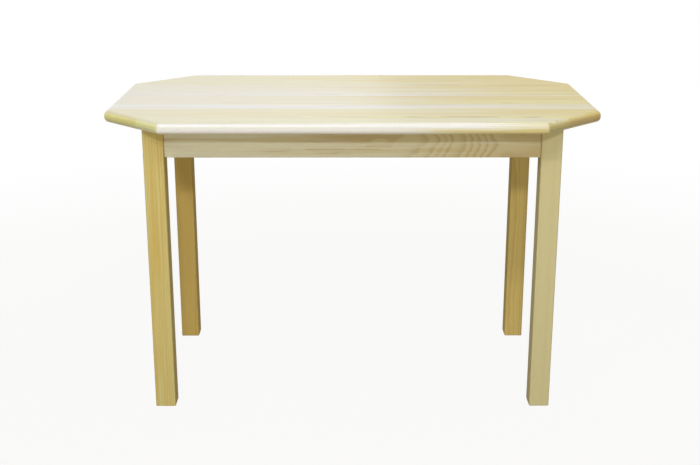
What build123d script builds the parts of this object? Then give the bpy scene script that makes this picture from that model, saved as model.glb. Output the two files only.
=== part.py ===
from build123d import *
import os
from math import sqrt

# A pine table whose oblong top has its four corners cut off. It stands on its feet at Z = 0 with
# the middle of the table on the Z axis, its length along X and its front edge towards -Y.
# All sizes are in millimetres.

# Top: staves of one width, glued edge to edge
table_height = 750.0
top_length = 1200.0
top_depth = 700.0
top_thickness = 28.0
stave_count = 12
corner_cut = 150.0
top_edge_round = 12.0

# Legs: insets run from the top's edges to the legs' outer faces
leg_width = 50.0
leg_end_inset = 100.0
leg_side_inset = 87.5
leg_edge_round = 3.0
foot_edge_round = 2.0

# Aprons: boards between the legs, set back from the legs' outer faces
apron_height = 76.0
apron_thickness = 20.0
apron_setback = 12.0
apron_edge_round = 2.0

# Corner plates: bent sheet steel across each inner corner, hooked into kerfs in the aprons
plate_thickness = 2.0
plate_height = 60.0
plate_wing = 32.0
plate_flange = 8.0
plate_bend_radius = 2.0
plate_gap = 20.0
kerf_clearance = 0.3

# Hanger bolts: screwed into a flat planed on each leg's inner corner, with a washer and a nut
seat_margin = 6.0
bolt_diameter = 8.0
bolt_depth = 42.0
bolt_tail = 6.0
bolt_chamfer = 1.0
bolt_hole_clearance = 0.15
bolt_plate_clearance = 0.5
washer_diameter = 20.0
washer_thickness = 1.6
nut_width = 13.0
nut_height = 6.5
nut_chamfer = 0.8

# Wood screws: pan heads with a cross recess, the same screw everywhere
screw_diameter = 4.0
screw_length = 16.0
screw_tip = 4.0
screw_head_diameter = 8.0
screw_head_height = 2.6
screw_head_round = 1.2
recess_length = 4.2
recess_width = 0.9
recess_depth = 1.4
screw_hole_clearance = 0.15
screw_plate_clearance = 0.4
plate_screw_spacing = 36.0

# Top brackets: small steel angles between the aprons and the top, slotted so that the top can move
bracket_leg = 26.0
bracket_width = 20.0
bracket_thickness = 2.0
bracket_bend_radius = 1.5
bracket_hole_inset = 15.0
bracket_slot_travel = 6.0
long_bracket_count = 3
long_bracket_spacing = 280.0
end_bracket_count = 2
end_bracket_spacing = 180.0

# Places that follow from those sizes
stave_width = top_depth / stave_count
underside_z = table_height - top_thickness
leg_outer_x = top_length / 2 - leg_end_inset
leg_outer_y = top_depth / 2 - leg_side_inset
leg_inner_x = leg_outer_x - leg_width
leg_inner_y = leg_outer_y - leg_width
apron_outer_x = leg_outer_x - apron_setback
apron_outer_y = leg_outer_y - apron_setback
apron_inner_x = apron_outer_x - apron_thickness
apron_inner_y = apron_outer_y - apron_thickness
apron_bottom_z = underside_z - apron_height
hardware_z = apron_bottom_z + apron_height / 2

# Along the corner's diagonal, measured inwards from where the aprons' inner faces would meet
leg_past_apron = apron_inner_x - leg_inner_x
seat_distance = (leg_past_apron + seat_margin) / sqrt(2)
web_distance = seat_distance + plate_gap
web_reach = web_distance * sqrt(2)
flange_reach = web_reach + plate_wing

corners = {
    "front_left": (-1, -1),
    "front_right": (1, -1),
    "rear_left": (-1, 1),
    "rear_right": (1, 1),
}


def block(low, high):
    """A box between two opposite corners."""
    size = [b - a for a, b in zip(low, high)]
    return Pos(*low) * Box(*size, align=(Align.MIN, Align.MIN, Align.MIN))


def rod(diameter, low, high):
    """A cylinder on the Z axis between two heights."""
    upright = (Align.CENTER, Align.CENTER, Align.MIN)
    return Pos(0, 0, low) * Cylinder(diameter / 2, high - low, align=upright)


def at_corner(shape, side_x, side_y):
    """A copy of a rear right piece at the corner that the two signs name."""
    if side_x < 0:
        shape = mirror(shape, about=Plane.YZ)
    if side_y < 0:
        shape = mirror(shape, about=Plane.XZ)
    return shape


def bent_strip(points, radii, thickness, width):
    """Sheet bent along a line: the line is one face, the sheet lies to its right."""
    line = FilletPolyline(*points, radius=radii)
    outline = offset(line, amount=thickness, side=Side.RIGHT)
    return extrude(make_face(outline.edges()), width / 2, both=True)


def diagonal_plane(distance):
    """A plane across the rear right corner's diagonal, facing the middle of the table."""
    step = distance / sqrt(2)
    return Plane(
        origin=(apron_inner_x - step, apron_inner_y - step, hardware_z),
        x_dir=(0, 0, 1),
        z_dir=(-1, -1, 0),
    )


# Wood screw, with the underside of its head at Z = 0 and its tip pointing down
def make_screw():
    shank = rod(screw_diameter, screw_tip - screw_length, 0)
    tip = Pos(0, 0, screw_tip - screw_length) * Cone(
        0, screw_diameter / 2, screw_tip, align=(Align.CENTER, Align.CENTER, Align.MAX)
    )
    head = rod(screw_head_diameter, 0, screw_head_height)
    head = fillet(head.edges().group_by(Axis.Z)[-1], screw_head_round)
    recess_floor = screw_head_height - recess_depth
    for length, width in ((recess_length, recess_width), (recess_width, recess_length)):
        head -= block(
            (-length / 2, -width / 2, recess_floor),
            (length / 2, width / 2, screw_head_height),
        )
    return shank + tip + head


def screw_hole():
    """The hole that a screw fills in the wood."""
    return rod(screw_diameter + 2 * screw_hole_clearance, -screw_length - screw_hole_clearance, 0)


screw = make_screw()
pilot = screw_hole()

# Corner plate screws: two through each wing, above and below the bolt
plate_screw_reach = web_reach + plate_wing / 2
long_side_plate_screws = []
end_side_plate_screws = []
for side in (-1, 1):
    screw_z = hardware_z + side * plate_screw_spacing / 2
    long_side_plate_screws.append(
        Plane(
            origin=(apron_inner_x - plate_screw_reach, apron_inner_y - plate_thickness, screw_z),
            x_dir=(0, 0, 1),
            z_dir=(0, -1, 0),
        )
    )
    end_side_plate_screws.append(
        Plane(
            origin=(apron_inner_x - plate_thickness, apron_inner_y - plate_screw_reach, screw_z),
            x_dir=(0, 0, 1),
            z_dir=(-1, 0, 0),
        )
    )
corner_screw_planes = long_side_plate_screws + end_side_plate_screws


# Corner plate of the rear right corner: a web across the corner, two wings and two flanges
def make_corner_plate():
    outline = [
        (flange_reach, -plate_flange),
        (flange_reach, 0),
        (web_reach, 0),
        (0, web_reach),
        (0, flange_reach),
        (-plate_flange, flange_reach),
    ]
    web_bend = plate_bend_radius + plate_thickness
    sheet = bent_strip(outline, [0, web_bend, web_bend, 0], plate_thickness, plate_height)
    plate = Pos(apron_inner_x, apron_inner_y, hardware_z) * (Rot(0, 0, 180) * sheet)
    bolt_hole = rod(bolt_diameter + 2 * bolt_plate_clearance, -plate_gap, plate_gap)
    plate -= diagonal_plane(web_distance) * bolt_hole
    screw_clear = rod(screw_diameter + 2 * screw_plate_clearance, -plate_thickness, plate_thickness)
    for plane in corner_screw_planes:
        plate -= plane * screw_clear
    return plate


# Hanger bolt, washer and nut of the rear right corner, all on the diagonal
washer_distance = web_distance + plate_thickness
nut_distance = washer_distance + washer_thickness
bolt_end = nut_distance + nut_height + bolt_tail - seat_distance


def make_hanger_bolt():
    bolt = rod(bolt_diameter, -bolt_depth, bolt_end)
    bolt = chamfer(bolt.edges().filter_by(GeomType.CIRCLE), bolt_chamfer)
    return diagonal_plane(seat_distance) * bolt


def make_washer():
    washer = rod(washer_diameter, 0, washer_thickness)
    washer -= rod(bolt_diameter + 2 * bolt_plate_clearance, 0, washer_thickness)
    return diagonal_plane(washer_distance) * washer


def make_nut():
    corner_diameter = nut_width * 2 / sqrt(3)
    turned = rod(corner_diameter, 0, nut_height)
    turned = chamfer(turned.edges().filter_by(GeomType.CIRCLE), nut_chamfer)
    nut = extrude(RegularPolygon(nut_width / 2, 6, major_radius=False), nut_height) & turned
    nut -= rod(bolt_diameter + 2 * bolt_hole_clearance, 0, nut_height)
    return diagonal_plane(nut_distance) * nut


# Leg of the rear right corner, with a planed flat and a hole for its bolt behind the aprons
def make_leg():
    leg = block((leg_inner_x, leg_inner_y, 0), (leg_outer_x, leg_outer_y, underside_z))
    leg = fillet(leg.edges().filter_by(Axis.Z), leg_edge_round)
    leg = fillet(leg.edges().group_by(Axis.Z)[0], foot_edge_round)
    planed = block((-apron_height / 2, -leg_width, 0), (apron_height / 2, leg_width, leg_width))
    leg -= diagonal_plane(seat_distance) * planed
    hole_depth = bolt_depth + bolt_hole_clearance
    bolt_hole = rod(bolt_diameter + 2 * bolt_hole_clearance, -hole_depth, 0)
    return leg - diagonal_plane(seat_distance) * bolt_hole


# Top bracket in its own frame: X runs inwards from the apron, Y runs up to the top's underside
apron_screw_plane = Plane(
    origin=(bracket_thickness, -bracket_hole_inset, 0), x_dir=(0, 1, 0), z_dir=(1, 0, 0)
)
top_screw_plane = Plane(
    origin=(bracket_hole_inset, -bracket_thickness, 0), x_dir=(1, 0, 0), z_dir=(0, -1, 0)
)


def make_bracket():
    outline = [(0, -bracket_leg), (0, 0), (bracket_leg, 0)]
    bend = bracket_bend_radius + bracket_thickness
    bracket = bent_strip(outline, [bend], bracket_thickness, bracket_width)
    hole = rod(screw_diameter + 2 * screw_plate_clearance, -bracket_thickness, bracket_thickness)
    bracket -= apron_screw_plane * hole
    slot_width = screw_diameter + 2 * screw_plate_clearance
    slot = extrude(SlotOverall(slot_width + bracket_slot_travel, slot_width), bracket_thickness, both=True)
    return bracket - top_screw_plane * slot


def spread(count, spacing):
    """Places of a row of equal steps about its middle."""
    return [(index - (count - 1) / 2) * spacing for index in range(count)]


rear_bracket_planes = [
    Plane(origin=(place, apron_inner_y, underside_z), x_dir=(0, -1, 0), z_dir=(-1, 0, 0))
    for place in spread(long_bracket_count, long_bracket_spacing)
]
right_bracket_planes = [
    Plane(origin=(apron_inner_x, place, underside_z), x_dir=(-1, 0, 0), z_dir=(0, 1, 0))
    for place in spread(end_bracket_count, end_bracket_spacing)
]


def both_sides(shapes, plane):
    """The shapes and their mirror images."""
    return list(shapes) + [mirror(shape, about=plane) for shape in shapes]


def on_all_aprons(shape):
    """Copies of a shape in the bracket's frame, at every bracket of the table."""
    long_sides = both_sides([plane * shape for plane in rear_bracket_planes], Plane.XZ)
    ends = both_sides([plane * shape for plane in right_bracket_planes], Plane.YZ)
    return long_sides + ends


# Aprons: the rear and right boards, with kerfs for the plates and pilot holes for the screws
def round_lower_edges(board, along):
    lower_edges = board.edges().filter_by(along).group_by(Axis.Z)[0]
    return fillet(lower_edges, apron_edge_round)


kerf_near = flange_reach - kerf_clearance
kerf_far = flange_reach + plate_thickness + kerf_clearance
kerf_depth = plate_flange + kerf_clearance


def make_rear_apron():
    board = block(
        (-leg_inner_x, apron_inner_y, apron_bottom_z),
        (leg_inner_x, apron_outer_y, underside_z),
    )
    board = round_lower_edges(board, Axis.X)
    kerf = block(
        (apron_inner_x - kerf_far, apron_inner_y, apron_bottom_z),
        (apron_inner_x - kerf_near, apron_inner_y + kerf_depth, underside_z),
    )
    pilots = [plane * pilot for plane in long_side_plate_screws]
    for cut in both_sides([kerf] + pilots, Plane.YZ):
        board -= cut
    for plane in rear_bracket_planes:
        board -= plane * (apron_screw_plane * pilot)
    return board


def make_right_apron():
    board = block(
        (apron_inner_x, -leg_inner_y, apron_bottom_z),
        (apron_outer_x, leg_inner_y, underside_z),
    )
    board = round_lower_edges(board, Axis.Y)
    kerf = block(
        (apron_inner_x, apron_inner_y - kerf_far, apron_bottom_z),
        (apron_inner_x + kerf_depth, apron_inner_y - kerf_near, underside_z),
    )
    pilots = [plane * pilot for plane in end_side_plate_screws]
    for cut in both_sides([kerf] + pilots, Plane.XZ):
        board -= cut
    for plane in right_bracket_planes:
        board -= plane * (apron_screw_plane * pilot)
    return board


# Top: one panel with cut corners and rounded edges, then sawn along the glue lines into its staves
def make_top():
    half_length = top_length / 2
    half_depth = top_depth / 2
    quarter = [
        (half_length, half_depth - corner_cut),
        (half_length - corner_cut, half_depth),
    ]
    outline = quarter + [(-x, y) for x, y in reversed(quarter)]
    outline += [(-x, -y) for x, y in quarter] + [(x, -y) for x, y in reversed(quarter)]
    panel = extrude(make_face(Polyline(*outline, close=True).edges()), top_thickness)
    panel = Pos(0, 0, underside_z) * panel
    levels = panel.edges().group_by(Axis.Z)
    panel = fillet(levels[0] + levels[-1], top_edge_round)
    for hole in on_all_aprons(top_screw_plane * pilot):
        panel -= hole
    return panel


def make_staves():
    panel = make_top()
    staves = []
    for number in range(stave_count):
        front = number * stave_width - top_depth / 2
        strip = block(
            (-top_length / 2, front, underside_z),
            (top_length / 2, front + stave_width, table_height),
        )
        staves.append(panel & strip)
    return staves


os.makedirs("parts", exist_ok=True)


def save(shape, node):
    export_step(shape, f"parts/{node}.step")


def save_group(shapes, node):
    save(Compound(children=[shape.solid() for shape in shapes]), node)


for number, stave in enumerate(make_staves(), start=1):
    save(stave.solid(), f"top_stave_{number}")

rear_apron = make_rear_apron()
save(rear_apron.solid(), "rear_apron")
save(mirror(rear_apron, about=Plane.XZ).solid(), "front_apron")
right_apron = make_right_apron()
save(right_apron.solid(), "right_apron")
save(mirror(right_apron, about=Plane.YZ).solid(), "left_apron")

leg = make_leg()
corner_plate = make_corner_plate()
for corner, (side_x, side_y) in corners.items():
    save(at_corner(leg, side_x, side_y).solid(), f"{corner}_leg")
    save(at_corner(corner_plate, side_x, side_y).solid(), f"{corner}_corner_plate")

signs = corners.values()
hanger_bolt = make_hanger_bolt()
washer = make_washer()
nut = make_nut()
save_group([at_corner(hanger_bolt, *sign) for sign in signs], "hanger_bolts")
save_group([at_corner(washer, *sign) for sign in signs], "bolt_washers")
save_group([at_corner(nut, *sign) for sign in signs], "bolt_nuts")
corner_screws = [plane * screw for plane in corner_screw_planes]
save_group([at_corner(one, *sign) for sign in signs for one in corner_screws], "corner_plate_screws")

save_group(on_all_aprons(make_bracket()), "top_brackets")
bracket_screws = on_all_aprons(apron_screw_plane * screw) + on_all_aprons(top_screw_plane * screw)
save_group(bracket_screws, "top_bracket_screws")
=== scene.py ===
from math import pi, radians, sqrt

import bmesh
import bpy
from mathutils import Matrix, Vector


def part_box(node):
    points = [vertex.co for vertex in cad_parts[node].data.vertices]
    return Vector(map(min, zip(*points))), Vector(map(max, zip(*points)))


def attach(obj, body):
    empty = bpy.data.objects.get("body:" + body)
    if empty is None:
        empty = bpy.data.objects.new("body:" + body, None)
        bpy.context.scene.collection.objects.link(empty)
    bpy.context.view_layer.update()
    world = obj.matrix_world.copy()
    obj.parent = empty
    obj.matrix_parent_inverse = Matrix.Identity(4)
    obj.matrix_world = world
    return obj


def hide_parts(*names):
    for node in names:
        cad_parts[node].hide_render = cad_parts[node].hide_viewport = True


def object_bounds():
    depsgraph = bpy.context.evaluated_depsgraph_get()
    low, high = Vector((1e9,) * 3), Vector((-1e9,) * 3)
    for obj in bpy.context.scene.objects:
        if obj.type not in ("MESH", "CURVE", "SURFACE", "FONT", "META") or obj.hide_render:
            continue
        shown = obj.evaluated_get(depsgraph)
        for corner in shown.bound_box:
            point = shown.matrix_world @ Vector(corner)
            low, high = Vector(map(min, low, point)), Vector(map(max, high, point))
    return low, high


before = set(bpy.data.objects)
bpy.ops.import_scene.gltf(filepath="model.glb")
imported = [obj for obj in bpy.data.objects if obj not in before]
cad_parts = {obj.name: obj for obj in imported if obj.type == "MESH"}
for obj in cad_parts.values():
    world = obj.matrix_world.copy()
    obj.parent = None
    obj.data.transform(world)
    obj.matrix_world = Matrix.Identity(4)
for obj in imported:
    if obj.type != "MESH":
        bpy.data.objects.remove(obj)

cad_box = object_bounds()

# Top staves: twelve strips of clear pine, planed, glued edge to edge and sanded as one panel.
# The panel's corners are sawn off at 45 degrees and its edges rounded over with a router, above
# and below. Each strip has its own tone and figure under a clear satin lacquer.
stave_count = 12
stave_names = [f"top_stave_{number}" for number in range(1, stave_count + 1)]
front_low, front_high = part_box(stave_names[0])
half_length = cad_box[1].x
half_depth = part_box(stave_names[-1])[1].y
stave_width = front_high.y - front_low.y
# The first stave is longest at its glue line, which lies its own width along the 45 degree cut
corner_cut = half_length - front_high.x + stave_width
panel_sides = 8
edge_round = 0.012
round_steps = 10
corner_ease = 0.010
ease_steps = 6
saw_margin = 0.02
saw_reach = 3.0
stave_crease = radians(30)
flat_face_weight = 90


class Wire:
    """An output of a node, which can be used in ordinary arithmetic."""

    def __init__(self, socket):
        self.socket = socket

    def reckon(self, operation, *others):
        return add_node(self.socket.id_data, "ShaderNodeMath", (self, *others), operation=operation)

    def __add__(self, other):
        return self.reckon("ADD", other)

    def __sub__(self, other):
        return self.reckon("SUBTRACT", other)

    def __rsub__(self, other):
        return add_node(self.socket.id_data, "ShaderNodeMath", (other, self), operation="SUBTRACT")

    def __mul__(self, other):
        return self.reckon("MULTIPLY", other)

    def __truediv__(self, other):
        return self.reckon("DIVIDE", other)


def feed(place, value):
    """Link a wire into a socket, or set the socket's own value."""
    if isinstance(value, Wire):
        place.id_data.links.new(value.socket, place)
    else:
        place.default_value = value


def add_node(tree, kind, inputs=(), output=0, **settings):
    """Add a node with its inputs given in order or by name, and return one of its outputs."""
    node = tree.nodes.new(kind)
    for name, value in settings.items():
        setattr(node, name, value)
    named = inputs.items() if isinstance(inputs, dict) else enumerate(inputs)
    for key, value in named:
        feed(node.inputs[key], value)
    return Wire(node.outputs[output])


def split(vector):
    """The three parts of a vector."""
    parts = add_node(vector.socket.id_data, "ShaderNodeSeparateXYZ", (vector,))
    return [Wire(socket) for socket in parts.socket.node.outputs]


def join(tree, x, y, z):
    """A vector from three parts."""
    return add_node(tree, "ShaderNodeCombineXYZ", (x, y, z))


def new_tree(name, kind, inputs, outputs):
    """An empty node tree with named inputs, and the wires that those inputs give."""
    tree = bpy.data.node_groups.new(name, kind)
    for label, socket_type in inputs.items():
        tree.interface.new_socket(name=label, in_out="INPUT", socket_type=socket_type)
    for label, socket_type in outputs.items():
        tree.interface.new_socket(name=label, in_out="OUTPUT", socket_type=socket_type)
    given = tree.nodes.new("NodeGroupInput")
    return tree, {label: Wire(given.outputs[label]) for label in inputs}


def hand_over(tree, **results):
    """Link wires to a tree's outputs, by their names."""
    end = tree.nodes.new("NodeGroupOutput")
    for label, wire in results.items():
        feed(end.inputs[label], wire)


def plain_mesh(name, tree, sizes, start=None):
    """Run a geometry tree with its named inputs and keep the result as a plain mesh object."""
    piece = bpy.data.objects.new(name, start or bpy.data.meshes.new(name))
    bpy.context.collection.objects.link(piece)
    shaping = piece.modifiers.new("shaping", "NODES")
    shaping.node_group = tree
    for label, size in sizes.items():
        shaping[tree.interface.items_tree[label].identifier] = size
    normals = piece.modifiers.new("even_shading", "WEIGHTED_NORMAL")
    normals.keep_sharp = True
    normals.weight = flat_face_weight
    bpy.context.view_layer.update()
    finished = piece.evaluated_get(bpy.context.evaluated_depsgraph_get())
    mesh = bpy.data.meshes.new_from_object(finished)
    piece.modifiers.clear()
    piece.data = mesh
    mesh.name = name
    return piece


def smooth_but_sharp(tree, mesh, crease):
    """Shade a mesh smooth, with its edges over an angle left sharp."""
    mesh = add_node(tree, "GeometryNodeSetShadeSmooth", {"Geometry": mesh, "Shade Smooth": True})
    bend = add_node(tree, "GeometryNodeInputMeshEdgeAngle")
    sharp = bend.reckon("GREATER_THAN", crease)
    edges = {"Geometry": mesh, "Selection": sharp, "Shade Smooth": False}
    return add_node(tree, "GeometryNodeSetShadeSmooth", edges, domain="EDGE")


def build_stave_tree():
    """The whole panel from rings of eight eased corners, sawn along two glue lines into one stave."""
    sizes = ["Half Length", "Half Depth", "Underside", "Thickness", "Corner Cut", "Edge Round"]
    sizes += ["Corner Ease", "Front", "Rear"]
    inputs = {label: "NodeSocketFloat" for label in sizes}
    inputs["Pine"] = "NodeSocketMaterial"
    tree, size = new_tree("stave", "GeometryNodeTree", inputs, {"Stave": "NodeSocketGeometry"})

    # A drum of unit size, with a row for each step of the rounded edge above and below
    rows = 2 * round_steps + 1
    around = panel_sides * (ease_steps + 1)
    counts = {"Vertices": around, "Side Segments": rows, "Radius": 1.0, "Depth": 2.0}
    drum = add_node(tree, "GeometryNodeMeshCylinder", counts, fill_type="NGON")
    half_step = (0.0, 0.0, pi / around)
    drum = add_node(tree, "GeometryNodeTransform", {"Geometry": drum, "Rotation": half_step})
    x, y, z = split(add_node(tree, "GeometryNodeInputPosition"))
    turn = (z.reckon("ABSOLUTE") * rows - 1.0) / (2.0 * round_steps) * (pi / 2)
    inset = size["Edge Round"] * (1.0 - turn.reckon("COSINE"))
    rise = size["Thickness"] / 2.0 - size["Edge Round"] + size["Edge Round"] * turn.reckon("SINE")

    # The drum's points go to the panel's corners, with a few at each for the easing
    side_angle = 2 * pi / panel_sides
    side = y.reckon("ARCTAN2", x) / side_angle
    past_flat = (side.reckon("FRACT") * (ease_steps + 1.0) - 0.5) / ease_steps
    facing = (side.reckon("FLOOR") + past_flat) * side_angle
    inner = inset + size["Corner Ease"]
    past_cut = size["Corner Cut"] + inner * (sqrt(2) - 1)
    at_end = x.reckon("ABSOLUTE").reckon("GREATER_THAN", y.reckon("ABSOLUTE"))
    at_side = 1.0 - at_end
    reach_x = size["Half Length"] - inner * at_end - past_cut * at_side
    reach_y = size["Half Depth"] - past_cut * at_end - inner * at_side
    middle = size["Underside"] + size["Thickness"] / 2.0
    corner = join(
        tree,
        x.reckon("SIGN") * reach_x + facing.reckon("COSINE") * size["Corner Ease"],
        y.reckon("SIGN") * reach_y + facing.reckon("SINE") * size["Corner Ease"],
        middle + z.reckon("SIGN") * rise,
    )
    panel = add_node(tree, "GeometryNodeSetPosition", {"Geometry": drum, "Position": corner})

    # The stave is what the panel shares with a slab between the two glue lines
    slab_width = size["Rear"] - size["Front"]
    slab_size = join(tree, size["Half Length"] * saw_reach, slab_width, size["Thickness"] * saw_reach)
    slab = add_node(tree, "GeometryNodeMeshCube", {"Size": slab_size})
    slab_place = join(tree, 0.0, (size["Front"] + size["Rear"]) / 2.0, middle)
    slab = add_node(tree, "GeometryNodeTransform", {"Geometry": slab, "Translation": slab_place})
    settings = {"operation": "INTERSECT", "solver": "EXACT"}
    stave = add_node(tree, "GeometryNodeMeshBoolean", {"Mesh 2": panel}, **settings)
    feed(stave.socket.node.inputs["Mesh 2"], slab)
    stave = smooth_but_sharp(tree, stave, stave_crease)
    stave = add_node(tree, "GeometryNodeRealizeInstances", (stave,))
    pine = {"Geometry": stave, "Material": size["Pine"]}
    hand_over(tree, Stave=add_node(tree, "GeometryNodeSetMaterial", pine))
    return tree


def blend_colours(under, over, share):
    """Mix two colours by a share of the second."""
    tree = share.socket.id_data
    node = tree.nodes.new("ShaderNodeMix")
    node.data_type = "RGBA"
    factor, first_colour, second_colour = node.inputs[0], node.inputs[6], node.inputs[7]
    feed(factor, share)
    feed(first_colour, under)
    feed(second_colour, over)
    mixed_colour = node.outputs[2]
    return Wire(mixed_colour)


def ramp(value, low, high, from_result=0.0, to_result=1.0):
    """A smooth step of a value between two limits."""
    steps = {"Value": value, "From Min": low, "From Max": high, "To Min": from_result, "To Max": to_result}
    return add_node(value.socket.id_data, "ShaderNodeMapRange", steps, interpolation_type="SMOOTHSTEP")


# For each layer of the grain: its length along and across the grain (mm), its detail, and what is
# added to the board's seed so that no two layers are alike
grain_layers = {
    "bend": (420.0, 110.0, 1.0, 0.0),
    "waver": (70.0, 16.0, 1.0, 3.1),
    "streak": (620.0, 13.0, 2.0, 7.7),
    "thread": (230.0, 4.0, 1.0, 8.9),
    "fibre": (38.0, 0.55, 2.0, 1.9),
    "fleck": (7.0, 0.42, 0.0, 5.3),
}
layer_roughness = 0.55
layer_middle = 0.5

# How far the rings bend and waver (mm), and how fast and far their widths change (in rings)
bend_reach = 16.0
waver_reach = 2.4
growth_change = 0.23
growth_reach = 2.2
growth_detail = 1.0

# Where each share of the finish begins and where it is full. The first three go by how far a face
# turns to the end of the grain or to the upright, the next two by how far it looks down, and the
# rest by the season of a ring, the streaks, the place along the board and the flecks
end_grain_step = (0.45, 0.72)
long_grain_step = (0.4, 0.1)
rounded_step = (0.99, 0.78)
underside_step = (-0.5, -0.95)
lower_round_step = (0.5, -0.5)
late_wood_step = (0.35, 0.88)
winter_step = (1.0, 0.93)
tone_step = (0.32, 0.68)
end_tone_step = (-0.18, 0.18)
fleck_step = (0.70, 0.80)

# How strongly each of them tells, in colour, in roughness and in relief
thread_share = 0.7
end_tone_share = 0.9
fleck_share = 0.35
fibre_light = 0.16
underside_shade = 0.12
lower_round_shade = 0.40
fibre_roughness = 0.14
late_wood_polish = 0.06
end_grain_roughness = 0.15
underside_roughness = 0.4
late_wood_relief = 0.5
fibre_relief = 0.5


def grain_noise(layer, place, seed, output=0):
    """The noise of one layer, stretched along the grain. Places are in millimetres."""
    along, across, detail, seed_step = grain_layers[layer]
    tree = place.socket.id_data
    stretch = (1 / along, 1 / across, 1 / across)
    scaled = add_node(tree, "ShaderNodeVectorMath", (place, stretch), operation="MULTIPLY")
    settings = {"Vector": scaled, "W": seed + seed_step, "Scale": 1.0, "Detail": detail}
    settings["Roughness"] = layer_roughness
    return add_node(tree, "ShaderNodeTexNoise", settings, output, noise_dimensions="4D")


def build_pine_grain():
    """Growth rings round a pith line, with fibres, streaks and resin flecks. Places are in millimetres."""
    numbers = ["Endwise", "Rise", "Seed", "Ring Width", "Evenness", "Figure", "Fade", "Satin"]
    numbers += ["Turn", "Drift", "Slant", "Slant Level", "Swell", "Swell Place", "Swell Spread"]
    numbers += ["Swell Past", "Painted Sheen Share"]
    colours = ["Near", "Far", "Late", "Near End", "Far End", "Painted Sheen"]
    inputs = {"Place": "NodeSocketVector"} | {label: "NodeSocketFloat" for label in numbers}
    inputs |= {label: "NodeSocketColor" for label in colours}
    outputs = {"Colour": "NodeSocketColor", "Roughness": "NodeSocketFloat", "Height": "NodeSocketFloat"}
    tree, given = new_tree("pine_grain", "ShaderNodeTree", inputs, outputs)
    place, seed = given["Place"], given["Seed"]

    # Which way the face looks: to the end of the grain, over a rounded long edge, or down
    endwise, rise = given["Endwise"], given["Rise"]
    end = ramp(endwise, *end_grain_step)
    edge = ramp(rise.reckon("ABSOLUTE"), *rounded_step) * ramp(endwise, *long_grain_step)
    underside = ramp(rise, *underside_step)
    lower_round = ramp(rise, *lower_round_step)

    # The rings of a trunk that bends a little, wavers and may swell at one place
    bend = split(grain_noise("bend", place, seed, "Color"))
    waver = split(grain_noise("waver", place, seed, "Color"))
    along, y, z = split(place)
    y = y + (bend[0] - layer_middle) * bend_reach + (waver[0] - layer_middle) * waver_reach
    z = z + (bend[1] - layer_middle) * bend_reach + (waver[1] - layer_middle) * waver_reach
    away = (along - given["Swell Place"]) / given["Swell Spread"]
    away = away.reckon("MINIMUM", given["Swell Past"])
    swollen = (away * away * -0.5).reckon("EXPONENT")
    radius = (y * y + z * z).reckon("SQRT") + given["Swell"] * (1.0 - swollen)
    distance = radius / given["Ring Width"]
    growth = {"W": distance * growth_change + seed, "Scale": 1.0, "Detail": growth_detail}
    growth = add_node(tree, "ShaderNodeTexNoise", growth, noise_dimensions="1D")
    years = distance + growth * growth_reach
    season = years.reckon("FRACT")
    year = years.reckon("FLOOR") + seed
    chance = add_node(tree, "ShaderNodeTexWhiteNoise", {"W": year}, noise_dimensions="1D")
    strength = chance + (1.0 - chance) * given["Evenness"]
    late = ramp(season, *late_wood_step) * ramp(season, *winter_step) * strength * given["Figure"]

    # Streaks, in which the tone of one end of the board gives way to the tone of the other
    thread = grain_noise("thread", place, seed) - layer_middle
    streak = grain_noise("streak", place, seed) + thread * thread_share
    drift = (along - given["Turn"]) * given["Drift"]
    sunk = (given["Slant Level"] - z) * given["Slant"] * given["Drift"]
    far_share = ramp(streak + drift + sunk, *tone_step)
    fibre = grain_noise("fibre", place, seed)
    fleck = ramp(grain_noise("fleck", place, seed), *fleck_step)
    late = late * (given["Fade"] * (far_share - 1.0) + 1.0)

    # The colours, one over another, and then the light and shade of fibres and lower faces
    colour = blend_colours(given["Near"], given["Far"], far_share)
    # Painted sheen: the rounded long edges turn paler and greyer, standing in for their white highlight
    painted_sheen = edge * given["Painted Sheen Share"] * (1.0 - far_share)
    colour = blend_colours(colour, given["Painted Sheen"], painted_sheen)
    end_tone = blend_colours(given["Near End"], given["Far End"], ramp(drift, *end_tone_step))
    colour = blend_colours(colour, end_tone, end * end_tone_share)
    colour = blend_colours(colour, given["Late"], late)
    colour = blend_colours(colour, given["Late"], fleck * fleck_share)
    shade = underside * underside_shade + end * lower_round * lower_round_shade
    light = (fibre - layer_middle) * fibre_light - shade + 1.0
    light = join(tree, light, light, light)
    colour = add_node(tree, "ShaderNodeVectorMath", (colour, light), operation="MULTIPLY")
    roughness = given["Satin"] + (fibre - layer_middle) * fibre_roughness - late * late_wood_polish
    roughness = roughness + end * end_grain_roughness + underside * underside_roughness
    height = late * late_wood_relief + fibre * fibre_relief
    hand_over(tree, Colour=colour, Roughness=roughness, Height=height)
    return tree


pine_grain = build_pine_grain()
millimetre = 0.001
pine_relief = 0.0002
pine_relief_strength = 0.35
usual_evenness = 0.2
usual_swell_spread = 300.0
no_end = 9.0


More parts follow.
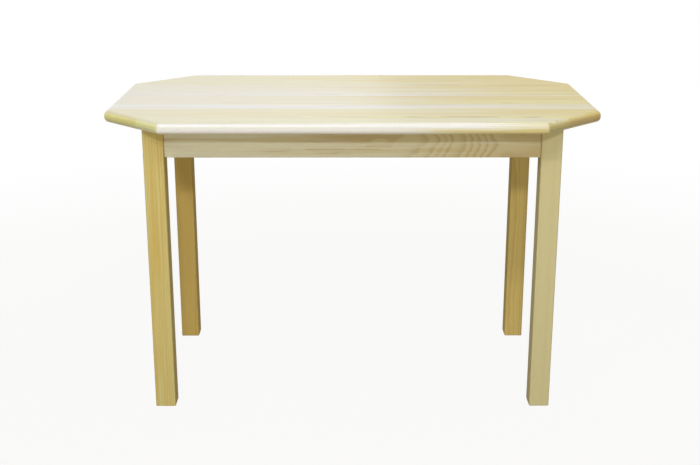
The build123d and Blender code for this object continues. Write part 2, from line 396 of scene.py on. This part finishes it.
def pine_finish(name, pith, lean, gloss, looks):
    """Lacquered pine whose pith passes through a point in metres, turned by an angle on each axis."""
    material = bpy.data.materials.new(name)
    material.use_nodes = True
    tree = material.node_tree
    surface = tree.nodes["Principled BSDF"]
    spot = add_node(tree, "ShaderNodeTexCoord", output="Object")
    scale = (millimetre, millimetre, millimetre)
    turned = {"Vector": spot, "Location": pith, "Rotation": lean, "Scale": scale}
    place = add_node(tree, "ShaderNodeMapping", turned, vector_type="TEXTURE")
    outward = add_node(tree, "ShaderNodeTexCoord", output="Normal")
    square_on = {"Vector": outward, "Rotation": lean}
    across = add_node(tree, "ShaderNodeMapping", square_on, vector_type="TEXTURE")
    endwise = split(across)[0].reckon("ABSOLUTE")
    rise = split(outward)[2]
    grain = tree.nodes.new("ShaderNodeGroup")
    grain.node_tree = pine_grain
    usual = {"Place": place, "Endwise": endwise, "Rise": rise, "Evenness": usual_evenness}
    usual |= {"Swell Spread": usual_swell_spread, "Swell Past": no_end}
    for label, value in (usual | looks).items():
        feed(grain.inputs[label], value)
    relief = {"Height": Wire(grain.outputs["Height"])}
    relief |= {"Strength": pine_relief_strength, "Distance": pine_relief}
    feed(surface.inputs["Base Color"], Wire(grain.outputs["Colour"]))
    feed(surface.inputs["Roughness"], Wire(grain.outputs["Roughness"]))
    feed(surface.inputs["Normal"], add_node(tree, "ShaderNodeBump", relief))
    surface.inputs["Specular IOR Level"].default_value = gloss
    return material


stave_tree = build_stave_tree()
milk = (0.81, 0.785, 0.71, 1.0)
pearl = (0.79, 0.755, 0.655, 1.0)
oat = (0.755, 0.715, 0.475, 1.0)
# A paler, greyer colour for the staves' rounded long edges: a painted sheen that stands in for their white
# highlight
painted_sheen_pale = (0.745, 0.735, 0.715, 1.0)
ivory = (0.78, 0.735, 0.57, 1.0)
cream = (0.76, 0.70, 0.43, 1.0)
straw = (0.74, 0.65, 0.22, 1.0)
honey = (0.71, 0.57, 0.14, 1.0)
heart = (0.62, 0.53, 0.22, 1.0)
amber = (0.52, 0.35, 0.14, 1.0)
end_pale = (0.86, 0.84, 0.37, 1.0)
end_yellow = (0.84, 0.81, 0.27, 1.0)
end_straw = (0.61, 0.51, 0.165, 1.0)
end_brown = (0.62, 0.44, 0.135, 1.0)
top_gloss = 0.8
top_satin = 0.36
stave_seed_step = 1.7
stave_drift = 0.0005
stave_fade = 0.4
# How strongly the staves' rounded edges take that painted sheen
painted_sheen_share = 0.35
# Every stave is paler at its left end and its figure fades there: partly the wood's own tone, partly
# painted sheen for the light on the left of the top
# For each stave, front to rear: pith in front of its middle and below its face (mm), lean (degrees),
# ring width (mm), strength of figure, its tones at the left and right ends, and where along it the
# one gives way to the other (mm)
stave_cuts = [
    (18, 95, 0.30, 3.4, 0.30, oat, heart, 290),
    (14, 42, 0.15, 3.4, 1.15, cream, straw, 150),
    (60, 30, 0.25, 2.4, 0.55, cream, honey, 230),
    (-14, 120, 0.20, 3.8, 0.40, milk, cream, 330),
    (10, 60, -0.45, 2.8, 0.60, ivory, straw, 120),
    (-70, 25, 0.20, 2.2, 0.55, ivory, honey, 110),
    (8, 80, 0.40, 3.6, 0.45, pearl, straw, 300),
    (45, 50, -0.30, 2.6, 0.55, ivory, honey, 200),
    (-12, 48, 0.50, 3.0, 0.60, ivory, honey, 160),
    (80, 35, 0.20, 2.3, 0.55, cream, honey, 240),
    (-4, 70, -0.35, 3.2, 0.55, cream, honey, 140),
    (30, 55, 0.45, 2.7, 0.65, cream, honey, 120),
]
# The first stave is pale at its left end too, its dark wood rises slantwise from its underside, and
# its rounded edge has the strongest painted sheen. The second has a lens of figure where a
# branch swelled the trunk, and the second and third run into brown heartwood at their right ends
stave_marks = {
    0: {"Near End": end_pale, "Drift": 0.0012, "Slant": 14.0, "Slant Level": 81.0, "Painted Sheen Share": 0.9},
    1: {"Swell": 8.0, "Swell Place": 310.0, "Swell Spread": 130.0, "Far End": end_brown},
    2: {"Far End": end_brown},
}
for number, name in enumerate(stave_names):
    sideways, below, lean, ring_width, figure, near, far, tone_turn = stave_cuts[number]
    low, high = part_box(name)
    pith = (0.0, (low.y + high.y) / 2 - sideways * millimetre, high.z - below * millimetre)
    turn = (0.0, radians(lean), radians(lean / 2))
    looks = {
        "Seed": stave_seed_step * number,
        "Ring Width": ring_width,
        "Figure": figure,
        "Satin": top_satin,
        "Near": near,
        "Far": far,
        "Late": amber,
        "Near End": end_yellow,
        "Far End": end_straw,
        "Turn": tone_turn,
        "Drift": stave_drift,
        "Fade": stave_fade,
        "Painted Sheen": painted_sheen_pale,
        "Painted Sheen Share": painted_sheen_share,
    }
    looks |= stave_marks.get(number, {})
    sizes = {
        "Half Length": half_length,
        "Half Depth": half_depth,
        "Underside": low.z,
        "Thickness": high.z - low.z,
        "Corner Cut": corner_cut,
        "Edge Round": edge_round,
        "Corner Ease": corner_ease,
        "Front": low.y - (saw_margin if number == 0 else 0),
        "Rear": high.y + (saw_margin if number == stave_count - 1 else 0),
        "Pine": pine_finish(f"pine_{name}", pith, turn, top_gloss, looks),
    }
    stave = plain_mesh(f"stave_{number + 1}", stave_tree, sizes)
    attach(stave, "root")
    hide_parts(name)

# Legs: four square pine posts with eased arrises, straight in the grain and a little darker than
# the top. Each has a flat planed on its inner corner, where its bolt is screwed in.
pale_straw = (0.59, 0.535, 0.29, 1.0)
green_straw = (0.60, 0.53, 0.22, 1.0)
light_honey = (0.57, 0.43, 0.13, 1.0)
bright_honey = (0.68, 0.525, 0.18, 1.0)
tan = (0.58, 0.42, 0.125, 1.0)
brown = (0.46, 0.26, 0.07, 1.0)
upright = radians(-90)
frame_gloss = 0.08
frame_satin = 0.70
leg_seed = 31
leg_seed_step = 2.3
# For each leg: pith to the right of its middle and behind it (mm), lean (degrees), ring width (mm),
# strength of figure, and the two tones of its streaks
leg_cuts = {
    "front_left_leg": (62, 30, 0.30, 3.3, 0.60, green_straw, light_honey),
    "front_right_leg": (-75, 20, 0.25, 2.6, 0.25, pale_straw, pale_straw),
    "rear_left_leg": (40, 80, -0.30, 2.6, 0.40, tan, tan),
    "rear_right_leg": (-30, 70, 0.35, 2.8, 0.40, bright_honey, bright_honey),
}
for number, (name, cut) in enumerate(leg_cuts.items()):
    sideways, behind, lean, ring_width, figure, near, far = cut
    low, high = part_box(name)
    middle = (low + high) / 2
    pith = (middle.x + sideways * millimetre, middle.y + behind * millimetre, 0.0)
    turn = (0.0, upright + radians(lean), radians(lean))
    looks = {
        "Seed": leg_seed + leg_seed_step * number,
        "Ring Width": ring_width,
        "Figure": figure,
        "Satin": frame_satin,
        "Near": near,
        "Far": far,
        "Late": brown,
        "Near End": brown,
        "Far End": brown,
    }
    finish = pine_finish(f"pine_{name}", pith, turn, frame_gloss, looks)
    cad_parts[name].material_slots[0].material = finish

# Aprons: four pine boards on edge, let in behind the legs' faces, with their lower arrises eased.
# They are flat-sawn where the trunk changes in width, so that its rings show as arches.
apron_straw = (0.66, 0.625, 0.45, 1.0)
apron_tan = (0.59, 0.51, 0.285, 1.0)
apron_late = (0.44, 0.29, 0.13, 1.0)
apron_seed = 51
apron_seed_step = 2.9
apron_tone_turn = -60.0
apron_drift = 0.0005
apron_fade = 0.85
apron_evenness = 0.6
# For each apron: heading (degrees), pith behind its middle, or to the right of it on an end apron,
# and above it (mm), ring width (mm), strength of figure, how much wider the trunk is at one place
# than elsewhere (mm, below nought where it is narrower), that place along the board and the length
# of the change (mm), and how many such lengths the change goes on past that place
apron_cuts = {
    "front_apron": (0.0, 290, -1, 3.4, 0.64, -36, 378, 100, 0.0),
    "rear_apron": (0.0, -260, 4, 2.6, 0.65, -45, -380, 170, no_end),
    "left_apron": (90.0, 230, 5, 2.4, 0.65, -30, 160, 120, no_end),
    "right_apron": (90.0, -240, -3, 2.7, 0.65, -35, -150, 130, no_end),
}
for number, (name, cut) in enumerate(apron_cuts.items()):
    heading, behind, above, ring_width, figure, swell, swell_place, swell_spread, swell_past = cut
    low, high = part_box(name)
    pith = (low + high) / 2
    pith.z += above * millimetre
    if heading:
        pith.x += behind * millimetre
    else:
        pith.y += behind * millimetre
    turn = (0.0, 0.0, radians(heading))
    looks = {
        "Seed": apron_seed + apron_seed_step * number,
        "Ring Width": ring_width,
        "Figure": figure,
        "Satin": frame_satin,
        "Near": apron_straw,
        "Far": apron_tan,
        "Late": apron_late,
        "Near End": apron_late,
        "Far End": apron_late,
        "Turn": apron_tone_turn,
        "Drift": apron_drift,
        "Fade": apron_fade,
        "Evenness": apron_evenness,
        "Swell": swell,
        "Swell Place": swell_place,
        "Swell Spread": swell_spread,
        "Swell Past": swell_past,
    }
    finish = pine_finish(f"pine_{name}", pith, turn, frame_gloss, looks)
    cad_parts[name].material_slots[0].material = finish

# Corner plates: strips of sheet steel pressed into shape, one across each inner corner. Their ends
# hook into saw cuts in the aprons, and their zinc plating is bright and a little cloudy.
zinc_pale = (0.74, 0.74, 0.72, 1.0)
zinc_dull = (0.56, 0.57, 0.58, 1.0)
cloud_scale = 110.0
cloud_detail = 3.0
cloud_step = (0.35, 0.65)
cloud_roughness = 0.22
rolling_scale = 240.0
rolling_detail = 2.0
rolling_stretch = (1.0, 1.0, 14.0)
rolling_roughness = 0.14
rolling_relief = 0.0001
rolling_relief_strength = 0.25
least_roughness = 0.12


def zinc_finish(name):
    """Bright zinc plate, clouded, with the fine lines of rolled steel under it."""
    material = bpy.data.materials.new(name)
    material.use_nodes = True
    tree = material.node_tree
    surface = tree.nodes["Principled BSDF"]
    spot = add_node(tree, "ShaderNodeTexCoord", output="Object")
    cloud = {"Vector": spot, "Scale": cloud_scale, "Detail": cloud_detail}
    cloud = add_node(tree, "ShaderNodeTexNoise", cloud)
    stretched = add_node(tree, "ShaderNodeMapping", {"Vector": spot, "Scale": rolling_stretch})
    lines = {"Vector": stretched, "Scale": rolling_scale, "Detail": rolling_detail}
    lines = add_node(tree, "ShaderNodeTexNoise", lines)
    feed(surface.inputs["Base Color"], blend_colours(zinc_dull, zinc_pale, ramp(cloud, *cloud_step)))
    roughness = cloud * cloud_roughness + lines * rolling_roughness + least_roughness
    feed(surface.inputs["Roughness"], roughness)
    relief = {"Height": lines, "Strength": rolling_relief_strength, "Distance": rolling_relief}
    feed(surface.inputs["Normal"], add_node(tree, "ShaderNodeBump", relief))
    surface.inputs["Metallic"].default_value = 1.0
    return material


zinc = zinc_finish("zinc_plate")
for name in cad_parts:
    if name.endswith("_corner_plate"):
        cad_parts[name].material_slots[0].material = zinc

# Hanger bolts, washers and nuts: at each corner a steel bolt with a coarse thread screwed into the
# leg and a machine thread on the other half, where a washer and a nut pull the leg up to the plate.
bolt_depth = 0.042
bolt_chamfer = 0.001
bolt_sides = 20
bolt_rows = 380
wood_pitch = 0.0032
machine_pitch = 0.00125
thread_depth = 0.0006
steel_crease = radians(35)
same_point = 1e-6


def solids_of(name):
    """The lowest and highest corners of each separate solid in a CAD node."""
    shape = bmesh.new()
    shape.from_mesh(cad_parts[name].data)
    bmesh.ops.remove_doubles(shape, verts=shape.verts, dist=same_point)
    reached = set()
    boxes = []
    for first in shape.verts:
        if first in reached:
            continue
        reached.add(first)
        solid = [first]
        for corner in solid:
            around = [edge.other_vert(corner) for edge in corner.link_edges]
            fresh = [other for other in around if other not in reached]
            reached.update(fresh)
            solid.extend(fresh)
        spots = [corner.co for corner in solid]
        boxes.append((Vector(map(min, zip(*spots))), Vector(map(max, zip(*spots)))))
    shape.free()
    return boxes


def mark_places(name, places):
    """A mesh of bare points, each with the direction in which its copy is aimed."""
    mesh = bpy.data.meshes.new(name)
    mesh.from_pydata([spot for spot, aim in places], [], [])
    aims = mesh.attributes.new("aim", "FLOAT_VECTOR", "POINT")
    for mark, (spot, aim) in zip(aims.data, places):
        mark.vector = aim
    return mesh


def copy_to_places(tree, places, shape):
    """Copies of a shape at marked places, turned so that its Z axis follows each place's aim."""
    aim = add_node(tree, "GeometryNodeInputNamedAttribute", {"Name": "aim"}, data_type="FLOAT_VECTOR")
    turned = add_node(tree, "FunctionNodeAlignRotationToVector", {"Vector": aim}, axis="Z")
    copies = {"Points": places, "Instance": shape, "Rotation": turned}
    copies = add_node(tree, "GeometryNodeInstanceOnPoints", copies)
    copies = add_node(tree, "GeometryNodeRemoveAttribute", {"Geometry": copies, "Name": "aim"})
    return add_node(tree, "GeometryNodeRealizeInstances", (copies,))


def thread_ridge(along, pitch, x, y):
    """How far a point of a rod lies up its thread: nought in the root and one on the crest."""
    turn = y.reckon("ARCTAN2", x) / (2 * pi)
    phase = (along / pitch - turn).reckon("FRACT")
    return 1.0 - (phase * 2.0 - 1.0).reckon("ABSOLUTE")


def build_bolt_tree():
    """A threaded rod from its end in the leg upwards, copied to each place."""
    sizes = ["Length", "Radius", "Depth", "Wood Pitch", "Machine Pitch", "Thread Depth", "Chamfer"]
    inputs = {"Places": "NodeSocketGeometry"} | {label: "NodeSocketFloat" for label in sizes}
    inputs["Zinc"] = "NodeSocketMaterial"
    tree, size = new_tree("hanger_bolt", "GeometryNodeTree", inputs, {"Bolts": "NodeSocketGeometry"})
    counts = {"Vertices": bolt_sides, "Side Segments": bolt_rows, "Radius": 1.0, "Depth": 1.0}
    rod = add_node(tree, "GeometryNodeMeshCylinder", counts, fill_type="NGON")
    x, y, z = split(add_node(tree, "GeometryNodeInputPosition"))
    along = (z + 0.5) * size["Length"]
    in_leg = along.reckon("LESS_THAN", size["Depth"])
    pitch = size["Machine Pitch"] + (size["Wood Pitch"] - size["Machine Pitch"]) * in_leg
    root = (1.0 - thread_ridge(along, pitch, x, y)) * size["Thread Depth"]
    to_end = along.reckon("MINIMUM", size["Length"] - along)
    chamfer = (size["Chamfer"] - to_end).reckon("MAXIMUM", 0.0)
    radius = size["Radius"] - root.reckon("MAXIMUM", chamfer)
    shaped = {"Geometry": rod, "Position": join(tree, x * radius, y * radius, along)}
    rod = add_node(tree, "GeometryNodeSetPosition", shaped)
    rod = smooth_but_sharp(tree, rod, steel_crease)
    bolts = copy_to_places(tree, size["Places"], rod)
    zinc_plated = {"Geometry": bolts, "Material": size["Zinc"]}
    hand_over(tree, Bolts=add_node(tree, "GeometryNodeSetMaterial", zinc_plated))
    return tree


bolt_places = []
for low, high in solids_of("hanger_bolts"):
    middle = (low + high) / 2
    bolt_radius = (high.z - low.z) / 2
    bolt_length = sqrt(2) * (high.x - low.x) - 2 * bolt_radius + 2 * bolt_chamfer
    inward = Vector((-middle.x / abs(middle.x), -middle.y / abs(middle.y), 0.0)) / sqrt(2)
    bolt_places.append((middle - inward * bolt_length / 2, inward))
sizes = {
    "Length": bolt_length,
    "Radius": bolt_radius,
    "Depth": bolt_depth,
    "Chamfer": bolt_chamfer,
    "Wood Pitch": wood_pitch,
    "Machine Pitch": machine_pitch,
    "Thread Depth": thread_depth,
    "Zinc": zinc,
}
bolts = plain_mesh("bolts", build_bolt_tree(), sizes, mark_places("bolts", bolt_places))
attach(bolts, "root")
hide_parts("hanger_bolts")
for name in ("bolt_washers", "bolt_nuts"):
    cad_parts[name].material_slots[0].material = zinc

# Wood screws: zinc-plated steel screws with a pan head and a cross recess, all of one size. They
# hold the corner plates and the top brackets to the aprons, and the brackets to the top.
head_radius = 0.004
head_height = 0.0026
head_round = 0.0012
head_sides = 32
head_rows = 8
recess_length = 0.0042
recess_width = 0.0009
recess_depth = 0.0014
shank_radius = 0.002
shank_length = 0.016
shank_in_head = 0.0005
shank_sides = 14
shank_rows = 60
screw_tip = 0.004
tip_share = 0.05
screw_pitch = 0.0018
screw_thread_depth = 0.0006


def build_screw_tree():
    """A screw with the underside of its head at its origin, copied to each place."""
    sizes = ["Head Radius", "Head Height", "Head Round", "Recess Length", "Recess Width", "Recess Depth"]
    sizes += ["Shank Radius", "Shank Length", "Shank In Head", "Tip", "Pitch", "Thread Depth"]
    inputs = {"Places": "NodeSocketGeometry"} | {label: "NodeSocketFloat" for label in sizes}
    inputs["Zinc"] = "NodeSocketMaterial"
    tree, size = new_tree("wood_screw", "GeometryNodeTree", inputs, {"Screws": "NodeSocketGeometry"})
    x, y, z = split(add_node(tree, "GeometryNodeInputPosition"))

    # The head, with one plain row below its rounding
    counts = {"Vertices": head_sides, "Side Segments": head_rows + 1, "Radius": 1.0, "Depth": 1.0}
    head = add_node(tree, "GeometryNodeMeshCylinder", counts, fill_type="NGON")
    row = (z + 0.5) * (head_rows + 1.0)
    turn = (row - 1.0).reckon("MAXIMUM", 0.0) / head_rows * (pi / 2)
    radius = size["Head Radius"] - size["Head Round"] * (1.0 - turn.reckon("COSINE"))
    below_round = size["Head Height"] - size["Head Round"]
    height = below_round * row.reckon("MINIMUM", 1.0) + size["Head Round"] * turn.reckon("SINE")
    shaped = {"Geometry": head, "Position": join(tree, x * radius, y * radius, height)}
    head = add_node(tree, "GeometryNodeSetPosition", shaped)

    # The two slots of the cross recess
    long, wide = size["Recess Length"], size["Recess Width"]
    slots = []
    for along_x, along_y in ((long, wide), (wide, long)):
        slot_size = join(tree, along_x, along_y, size["Recess Depth"] * 2.0)
        slot = add_node(tree, "GeometryNodeMeshCube", {"Size": slot_size})
        lift = join(tree, 0.0, 0.0, size["Head Height"])
        slots.append(add_node(tree, "GeometryNodeTransform", {"Geometry": slot, "Translation": lift}))

    # The threaded shank, which tapers to its tip
    counts = {"Vertices": shank_sides, "Side Segments": shank_rows, "Radius": 1.0, "Depth": 1.0}
    shank = add_node(tree, "GeometryNodeMeshCylinder", counts, fill_type="NGON")
    along = (z + 0.5) * (size["Shank Length"] + size["Shank In Head"])
    root = (1.0 - thread_ridge(along, size["Pitch"], x, y)) * size["Thread Depth"]
    taper = ((along / size["Tip"]) * (1 - tip_share) + tip_share).reckon("MINIMUM", 1.0)
    radius = (size["Shank Radius"] - root) * taper
    below_head = along - size["Shank Length"]
    shaped = {"Geometry": shank, "Position": join(tree, x * radius, y * radius, below_head)}
    shank = add_node(tree, "GeometryNodeSetPosition", shaped)

    settings = {"operation": "DIFFERENCE", "solver": "EXACT"}
    head = add_node(tree, "GeometryNodeMeshBoolean", {"Mesh 1": head, "Mesh 2": slots[0]}, **settings)
    feed(head.socket.node.inputs["Mesh 2"], slots[1])
    settings = {"operation": "UNION", "solver": "EXACT"}
    screw = add_node(tree, "GeometryNodeMeshBoolean", {"Mesh 2": head}, **settings)
    feed(screw.socket.node.inputs["Mesh 2"], shank)
    screw = smooth_but_sharp(tree, screw, steel_crease)
    screws = copy_to_places(tree, size["Places"], screw)
    zinc_plated = {"Geometry": screws, "Material": size["Zinc"]}
    hand_over(tree, Screws=add_node(tree, "GeometryNodeSetMaterial", zinc_plated))
    return tree


def screw_places(name):
    """Where each screw's head seats, and which way it faces: to the middle of the table or down."""
    places = []
    for low, high in solids_of(name):
        middle = (low + high) / 2
        size = high - low
        axis = max(range(3), key=lambda index: size[index])
        driven = Vector()
        driven[axis] = -1.0 if axis < 2 and middle[axis] < 0 else 1.0
        places.append((middle - driven * (size[axis] / 2 - head_height), -driven))
    return places


screw_tree = build_screw_tree()
sizes = {
    "Head Radius": head_radius,
    "Head Height": head_height,
    "Head Round": head_round,
    "Recess Length": recess_length,
    "Recess Width": recess_width,
    "Recess Depth": recess_depth,
    "Shank Radius": shank_radius,
    "Shank Length": shank_length,
    "Shank In Head": shank_in_head,
    "Tip": screw_tip,
    "Pitch": screw_pitch,
    "Thread Depth": screw_thread_depth,
    "Zinc": zinc,
}
for name, node in (("plate_screws", "corner_plate_screws"), ("bracket_screws", "top_bracket_screws")):
    screws = plain_mesh(name, screw_tree, sizes, mark_places(name, screw_places(node)))
    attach(screws, "root")
    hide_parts(node)

# Top brackets: small steel angles under the top, with a round hole for the apron's screw and a
# slot for the top's, so that the top can swell and shrink. Punched, bent and zinc plated.
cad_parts["top_brackets"].material_slots[0].material = zinc

# Floor and background: a plain white studio floor that runs out to a white surround. Both show
# as white to the camera and in reflections, and the floor keeps a soft trace of the shadow.
floor_half = 12.0
floor_pale = (0.46, 0.385, 0.23, 1.0)
floor_shadow_share = 0.07
floor_shadow_fade = (1.0, 3.0)
surround_light = 0.16
white = (1.0, 1.0, 1.0, 1.0)


def seen_directly(tree):
    """One for what the camera, reflections and clear materials see, and nought for other light."""
    path = add_node(tree, "ShaderNodeLightPath").socket.node.outputs
    seen = Wire(path["Is Camera Ray"]).reckon("MAXIMUM", Wire(path["Is Glossy Ray"]))
    return seen.reckon("MAXIMUM", Wire(path["Is Transmission Ray"]))


floor_mesh = bpy.data.meshes.new("floor")
floor_corners = [(-1, -1), (1, -1), (1, 1), (-1, 1)]
floor_corners = [(floor_half * x, floor_half * y, 0.0) for x, y in floor_corners]
floor_mesh.from_pydata(floor_corners, [], [(0, 1, 2, 3)])
floor = bpy.data.objects.new("floor", floor_mesh)
bpy.context.collection.objects.link(floor)
floor_finish = bpy.data.materials.new("floor_pale")
floor_finish.use_nodes = True
tree = floor_finish.node_tree
tree.nodes.clear()
matt = add_node(tree, "ShaderNodeBsdfDiffuse", {"Color": floor_pale})
glow = add_node(tree, "ShaderNodeEmission", {"Color": white, "Strength": 1.0})
spot = add_node(tree, "ShaderNodeTexCoord", output="Object")
spread = add_node(tree, "ShaderNodeVectorMath", (spot,), "Value", operation="LENGTH")
shadow_share = ramp(spread, *floor_shadow_fade, floor_shadow_share, 0.0)
share = seen_directly(tree) * (1.0 - shadow_share)
mixed = add_node(tree, "ShaderNodeMixShader", (share, matt, glow))
output = tree.nodes.new("ShaderNodeOutputMaterial")
feed(output.inputs["Surface"], mixed)
floor_mesh.materials.append(floor_finish)

world = bpy.data.worlds.new("white_surround")
world.use_nodes = True
bpy.context.scene.world = world
tree = world.node_tree
background = tree.nodes["Background"]
background.inputs["Color"].default_value = white
feed(background.inputs["Strength"], seen_directly(tree) * (1 - surround_light) + surround_light)

# Lights: a lamp above the camera, which throws the top's shadow on the apron, a lamp to the front
# left, wide fills from the front and the rear, a soft box over the front edge and one more that
# gives that edge its sheen alone, a soft light overhead, and one behind for the sheen on the top.


def add_light(name, place, target, size, watts, shines=True, lights=True):
    """A soft box of a size in metres that is aimed at a point. One that doesn't shine leaves no
    sheen on the lacquer, and one that doesn't light leaves nothing else."""
    light = bpy.data.lights.new(name, "AREA")
    light.shape = "RECTANGLE"
    light.size, light.size_y = size
    light.energy = watts
    lamp = bpy.data.objects.new(name, light)
    lamp.location = place
    towards = [b - a for a, b in zip(place, target)]
    lamp.rotation_euler = Vector(towards).to_track_quat("-Z", "Y").to_euler()
    lamp.visible_camera = False
    lamp.visible_glossy = shines
    lamp.visible_diffuse = lights
    bpy.context.collection.objects.link(lamp)


add_light("front_lamp", (0.0, -4.38, 2.46), (0.0, -0.25, 0.68), (0.25, 0.25), 50, shines=False)
add_light("left_lamp", (-1.69, -2.91, 3.24), (0.0, -0.3, 0.72), (0.3, 0.3), 29)
add_light("front_fill", (0.0, -5.6, 0.95), (0.0, 0.0, 0.5), (3.4, 1.6), 87, shines=False)
add_light("front_soft_box", (-0.1, -2.6, 3.35), (0.0, -0.3, 0.72), (2.1, 0.8), 30)
add_light("edge_sheen", (-0.4, -3.07, 2.80), (-0.2, -0.35, 0.75), (1.3, 0.6), 12, lights=False)
add_light("overhead_light", (0.5, 0.3, 2.6), (0.2, 0.0, 0.75), (1.6, 0.8), 12.5)
add_light("rear_soft_box", (-1.2, 3.4, 1.6), (-0.2, 0.0, 0.75), (3.0, 1.4), 7)
add_light("rear_fill", (0.8, 5.6, 1.2), (0.0, 0.0, 0.5), (3.4, 1.4), 75, shines=False)

# Camera: at chest height, some two and a half metres in front of the table's edge and close to its
# middle, pitched down on to it.
camera_place = (-0.011, -2.915, 1.269)
camera_pitch = 0.2952
camera_yaw = 0.0018
camera_lens = 58.64
camera_sensor = 36.0
lens = bpy.data.cameras.new("camera")
lens.lens = camera_lens
lens.sensor_width = camera_sensor
camera = bpy.data.objects.new("camera", lens)
camera.location = camera_place
camera.rotation_euler = (pi / 2 - camera_pitch, 0.0, -camera_yaw)
bpy.context.collection.objects.link(camera)
bpy.context.scene.camera = camera
bpy.context.scene.view_settings.view_transform = "Standard"
